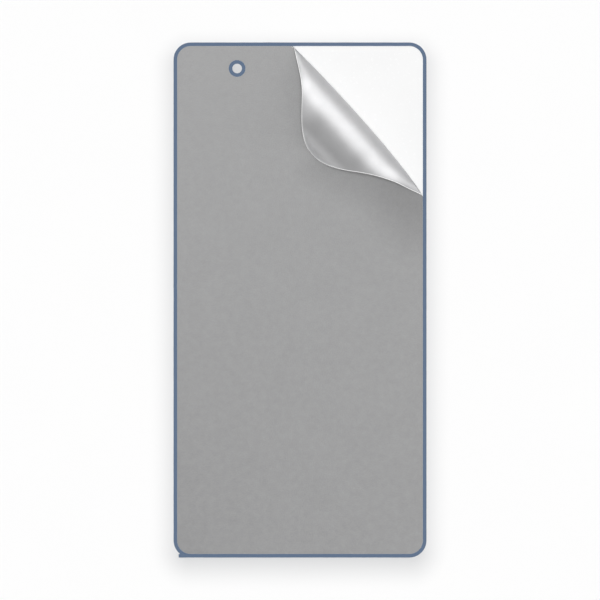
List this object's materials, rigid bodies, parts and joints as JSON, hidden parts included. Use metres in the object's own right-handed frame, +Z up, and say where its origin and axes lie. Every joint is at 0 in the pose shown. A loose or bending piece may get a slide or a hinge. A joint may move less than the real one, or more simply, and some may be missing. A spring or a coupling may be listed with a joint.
{
  "type": "phone screen protector",
  "caption": "Flat rounded screen film on a release liner, with a coloured border band, a ringed camera hole and one corner peeled up and curled over.",
  "frame": {"origin": "middle of the liner's underside, on the surface that the sheet lies on", "axes": "+X to the right seen from above with the camera hole at the top left, +Y towards the camera end, +Z up out of the sheet"},
  "size_m": [0.074, 0.1508, 0.0089],
  "materials": {
    "liner": "white satin release liner",
    "band": "slate blue satin film",
    "film": "matt grey film with a silvery underside"
  },
  "bodies": {
    "root": {"backing_sheet": "liner", "edge_frame": "band", "camera_ring": "band", "screen_film": "film"}
  },
  "joints": []
}
